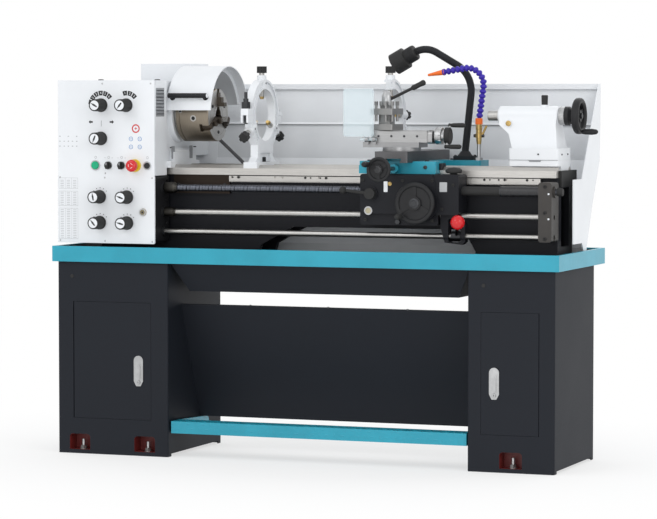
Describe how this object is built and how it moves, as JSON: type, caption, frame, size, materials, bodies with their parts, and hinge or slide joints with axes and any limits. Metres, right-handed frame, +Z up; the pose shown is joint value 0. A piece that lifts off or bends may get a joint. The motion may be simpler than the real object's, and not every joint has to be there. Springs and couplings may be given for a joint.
{
  "type": "manual lathe",
  "caption": "Gap-bed manual engine lathe on two cabinets with a chip tray, chuck guard, steady rest, compound slide, lamp and tailstock.",
  "frame": {"origin": "on the floor, under the spindle axis and the middle of the chip tray", "axes": "+X towards the tailstock along the spindle axis, +Y away from the operator, +Z up"},
  "size_m": [1.6503, 0.598, 1.2367],
  "materials": {
    "cabinet_black": "fine texture",
    "turquoise": "satin",
    "white": "satin",
    "bed_black": "painted",
    "steel": "ground",
    "dark_steel": "blackened",
    "black_plastic": "matt",
    "green_plastic": "gloss",
    "red_plastic": "gloss",
    "clear_sheet": "clear"
  },
  "bodies": {
    "base": {"left_pedestal": "cabinet_black", "right_pedestal": "cabinet_black", "front_panel": "cabinet_black", "chip_tray": "turquoise", "bed": "bed_black", "headstock": "white", "control_box": "white", "gearbox": "white", "end_cover": "white", "splash_guard": "white", "steady_rest_base": "white", "end_bracket": "bed_black"},
    "spindle": {"spindle": "steel", "chuck_body": "steel"},
    "jaw_1": {"jaw_1": "dark_steel"},
    "jaw_2": {"jaw_2": "dark_steel"},
    "jaw_3": {"jaw_3": "dark_steel"},
    "chuck_guard": {"chuck_guard": "white"},
    "speed_knob_1": {"speed_knob_1": "black_plastic"},
    "speed_knob_2": {"speed_knob_2": "black_plastic"},
    "direction_knob": {"direction_knob": "black_plastic"},
    "feed_knob_1": {"feed_knob_1": "black_plastic"},
    "feed_knob_2": {"feed_knob_2": "black_plastic"},
    "feed_knob_3": {"feed_knob_3": "black_plastic"},
    "feed_knob_4": {"feed_knob_4": "black_plastic"},
    "start_button": {"start_button": "green_plastic"},
    "jog_button": {"jog_button": "black_plastic"},
    "selector_left": {"selector_left": "black_plastic"},
    "selector_right": {"selector_right": "black_plastic"},
    "stop_button": {"stop_button": "red_plastic"},
    "leadscrew": {"leadscrew": "steel"},
    "feed_rod": {"feed_rod": "steel"},
    "control_rod": {"control_rod": "steel"},
    "carriage": {"apron": "bed_black", "saddle": "turquoise", "work_lamp": "black_plastic", "coolant_line": "steel", "follow_rest": "white"},
    "carriage_wheel": {"carriage_wheel": "dark_steel"},
    "feed_lever": {"feed_lever": "black_plastic"},
    "control_lever": {"control_lever": "red_plastic"},
    "cross_slide": {"cross_slide": "dark_steel"},
    "cross_wheel": {"cross_wheel": "dark_steel"},
    "swivel_base": {"swivel_base": "dark_steel"},
    "compound_slide": {"compound_slide": "dark_steel"},
    "compound_wheel": {"compound_wheel": "dark_steel"},
    "tool_post": {"tool_post": "steel"},
    "tool_post_lever": {"tool_post_lever": "steel"},
    "chip_shield": {"chip_shield": "clear_sheet"},
    "steady_rest_top": {"steady_rest_top": "white"},
    "steady_finger_1": {"steady_finger_1": "steel"},
    "steady_finger_2": {"steady_finger_2": "steel"},
    "steady_finger_3": {"steady_finger_3": "steel"},
    "tailstock": {"tailstock": "white"},
    "quill": {"quill": "steel"},
    "tail_wheel": {"tail_wheel": "dark_steel"},
    "quill_lock": {"quill_lock": "steel"},
    "left_door": {"left_door": "cabinet_black"},
    "right_door": {"right_door": "cabinet_black"},
    "foot_pedal": {"foot_pedal": "turquoise"}
  },
  "joints": [
    {"name": "spindle_spin", "type": "hinge", "parent": "base", "child": "spindle", "pos_m": [-0.345, 0, 1.026], "axis": [1, 0, 0], "continuous": true},
    {"name": "jaw_1_slide", "type": "slide", "parent": "spindle", "child": "jaw_1", "axis": [0, 0, 1], "range_m": [-0.012, 0.01]},
    {"name": "jaw_2_slide", "type": "slide", "parent": "spindle", "child": "jaw_2", "axis": [0, -0.866, -0.5], "range_m": [-0.012, 0.01]},
    {"name": "jaw_3_slide", "type": "slide", "parent": "spindle", "child": "jaw_3", "axis": [0, 0.866, -0.5], "range_m": [-0.012, 0.01]},
    {"name": "guard_hinge", "type": "hinge", "parent": "base", "child": "chuck_guard", "pos_m": [-0.4, 0.17, 1.085], "axis": [1, 0, 0], "range_deg": [-75, 0]},
    {"name": "speed_knob_1_turn", "type": "hinge", "parent": "base", "child": "speed_knob_1", "pos_m": [-0.64, -0.205, 1.056], "axis": [0, 1, 0], "range_deg": [-60, 60]},
    {"name": "speed_knob_2_turn", "type": "hinge", "parent": "base", "child": "speed_knob_2", "pos_m": [-0.557, -0.205, 1.056], "axis": [0, 1, 0], "range_deg": [-60, 60]},
    {"name": "direction_knob_turn", "type": "hinge", "parent": "base", "child": "direction_knob", "pos_m": [-0.641, -0.205, 0.956], "axis": [0, 1, 0], "range_deg": [-60, 60]},
    {"name": "feed_knob_1_turn", "type": "hinge", "parent": "base", "child": "feed_knob_1", "pos_m": [-0.646, -0.205, 0.78], "axis": [0, 1, 0], "range_deg": [-60, 60]},
    {"name": "feed_knob_2_turn", "type": "hinge", "parent": "base", "child": "feed_knob_2", "pos_m": [-0.556, -0.205, 0.78], "axis": [0, 1, 0], "range_deg": [-60, 60]},
    {"name": "feed_knob_3_turn", "type": "hinge", "parent": "base", "child": "feed_knob_3", "pos_m": [-0.646, -0.205, 0.702], "axis": [0, 1, 0], "range_deg": [-60, 60]},
    {"name": "feed_knob_4_turn", "type": "hinge", "parent": "base", "child": "feed_knob_4", "pos_m": [-0.556, -0.205, 0.702], "axis": [0, 1, 0], "range_deg": [-60, 60]},
    {"name": "start_push", "type": "slide", "parent": "base", "child": "start_button", "axis": [0, 1, 0], "range_m": [0, 0.004], "stiffness_N_per_m": 800},
    {"name": "jog_push", "type": "slide", "parent": "base", "child": "jog_button", "axis": [0, 1, 0], "range_m": [0, 0.004], "stiffness_N_per_m": 800},
    {"name": "stop_push", "type": "slide", "parent": "base", "child": "stop_button", "axis": [0, 1, 0], "range_m": [0, 0.004]},
    {"name": "selector_left_turn", "type": "hinge", "parent": "base", "child": "selector_left", "pos_m": [-0.617, -0.205, 0.875], "axis": [0, 1, 0], "range_deg": [-45, 45]},
    {"name": "selector_right_turn", "type": "hinge", "parent": "base", "child": "selector_right", "pos_m": [-0.574, -0.205, 0.875], "axis": [0, 1, 0], "range_deg": [-45, 45]},
    {"name": "leadscrew_spin", "type": "hinge", "parent": "base", "child": "leadscrew", "pos_m": [0, -0.135, 0.808], "axis": [1, 0, 0], "continuous": true},
    {"name": "feed_rod_spin", "type": "hinge", "parent": "base", "child": "feed_rod", "pos_m": [0, -0.135, 0.735], "axis": [1, 0, 0], "continuous": true},
    {"name": "control_rod_turn", "type": "hinge", "parent": "base", "child": "control_rod", "pos_m": [0, -0.135, 0.676], "axis": [1, 0, 0], "range_deg": [-20, 20]},
    {"name": "carriage_travel", "type": "slide", "parent": "base", "child": "carriage", "axis": [1, 0, 0], "range_m": [-0.285, 0.055]},
    {"name": "carriage_wheel_turn", "type": "hinge", "parent": "carriage", "child": "carriage_wheel", "pos_m": [0.361, -0.2, 0.773], "axis": [0, 1, 0], "range_deg": [-6000, 6000]},
    {"name": "feed_lever_turn", "type": "hinge", "parent": "carriage", "child": "feed_lever", "pos_m": [0.215, -0.175, 0.799], "axis": [0, 1, 0], "range_deg": [-25, 25]},
    {"name": "control_lever_turn", "type": "hinge", "parent": "carriage", "child": "control_lever", "pos_m": [0.462, -0.135, 0.676], "axis": [1, 0, 0], "range_deg": [-20, 20]},
    {"name": "cross_travel", "type": "slide", "parent": "carriage", "child": "cross_slide", "axis": [0, 1, 0], "range_m": [-0.08, 0.02]},
    {"name": "cross_wheel_turn", "type": "hinge", "parent": "carriage", "child": "cross_wheel", "pos_m": [0.275, -0.28, 0.872], "axis": [0, 1, 0], "range_deg": [-9000, 9000]},
    {"name": "swivel_turn", "type": "hinge", "parent": "cross_slide", "child": "swivel_base", "pos_m": [0.275, -0.077, 0.922], "axis": [0, 0, 1], "range_deg": [-45, 20]},
    {"name": "compound_travel", "type": "slide", "parent": "swivel_base", "child": "compound_slide", "axis": [1, 0, 0], "range_m": [-0.022, 0.04]},
    {"name": "compound_wheel_turn", "type": "hinge", "parent": "compound_slide", "child": "compound_wheel", "pos_m": [0.365, -0.077, 0.967], "axis": [1, 0, 0], "range_deg": [-5000, 5000]},
    {"name": "tool_post_turn", "type": "hinge", "parent": "compound_slide", "child": "tool_post", "pos_m": [0.227, -0.077, 0.983], "axis": [0, 0, 1], "continuous": true},
    {"name": "post_lever_turn", "type": "hinge", "parent": "compound_slide", "child": "tool_post_lever", "pos_m": [0.227, -0.077, 1.05], "axis": [0, 0, 1], "range_deg": [-60, 60]},
    {"name": "shield_hinge", "type": "hinge", "parent": "swivel_base", "child": "chip_shield", "pos_m": [0.155, -0.129, 0.956], "axis": [1, 0, 0], "range_deg": [0, 95]},
    {"name": "steady_hinge", "type": "hinge", "parent": "base", "child": "steady_rest_top", "pos_m": [-0.202, 0.124, 1.026], "axis": [1, 0, 0], "range_deg": [-92, 0]},
    {"name": "steady_finger_1_slide", "type": "slide", "parent": "steady_rest_top", "child": "steady_finger_1", "axis": [0, 0, 1], "range_m": [-0.007, 0.02]},
    {"name": "steady_finger_2_slide", "type": "slide", "parent": "base", "child": "steady_finger_2", "axis": [0, -0.9063, -0.4226], "range_m": [-0.02, 0.01]},
    {"name": "steady_finger_3_slide", "type": "slide", "parent": "base", "child": "steady_finger_3", "axis": [0, 0.9063, -0.4226], "range_m": [-0.02, 0.01]},
    {"name": "tailstock_travel", "type": "slide", "parent": "base", "child": "tailstock", "axis": [1, 0, 0], "range_m": [-0.095, 0]},
    {"name": "quill_travel", "type": "slide", "parent": "tailstock", "child": "quill", "axis": [-1, 0, 0], "range_m": [-0.03, 0.06]},
    {"name": "tail_wheel_turn", "type": "hinge", "parent": "tailstock", "child": "tail_wheel", "pos_m": [0.735, 0, 1.026], "axis": [1, 0, 0], "range_deg": [-6000, 6000]},
    {"name": "quill_lock_turn", "type": "hinge", "parent": "tailstock", "child": "quill_lock", "pos_m": [0.689, 0, 1.056], "axis": [0, 0, 1], "range_deg": [-60, 60]},
    {"name": "left_door_hinge", "type": "hinge", "parent": "base", "child": "left_door", "pos_m": [-0.73, -0.206, 0.3], "axis": [0, 0, -1], "range_deg": [0, 95]},
    {"name": "right_door_hinge", "type": "hinge", "parent": "base", "child": "right_door", "pos_m": [0.734, -0.206, 0.3], "axis": [0, 0, 1], "range_deg": [0, 95]},
    {"name": "pedal_hinge", "type": "hinge", "parent": "base", "child": "foot_pedal", "pos_m": [0, 0.06, 0.085], "axis": [1, 0, 0], "range_deg": [0, 8], "stiffness_Nm_per_rad": 120, "springref_deg": -6.88}
  ],
  "couplings": [
    {"joint": "jaw_2_slide", "follows": "jaw_1_slide", "ratio": 1},
    {"joint": "jaw_3_slide", "follows": "jaw_1_slide", "ratio": 1},
    {"joint": "carriage_wheel_turn", "follows": "carriage_travel", "rad_per_m": 349.07},
    {"joint": "control_rod_turn", "follows": "control_lever_turn", "ratio": 1},
    {"joint": "cross_wheel_turn", "follows": "cross_travel", "rad_per_m": 1570.8},
    {"joint": "compound_wheel_turn", "follows": "compound_travel", "rad_per_m": -1570.8},
    {"joint": "tail_wheel_turn", "follows": "quill_travel", "rad_per_m": 1256.6}
  ]
}
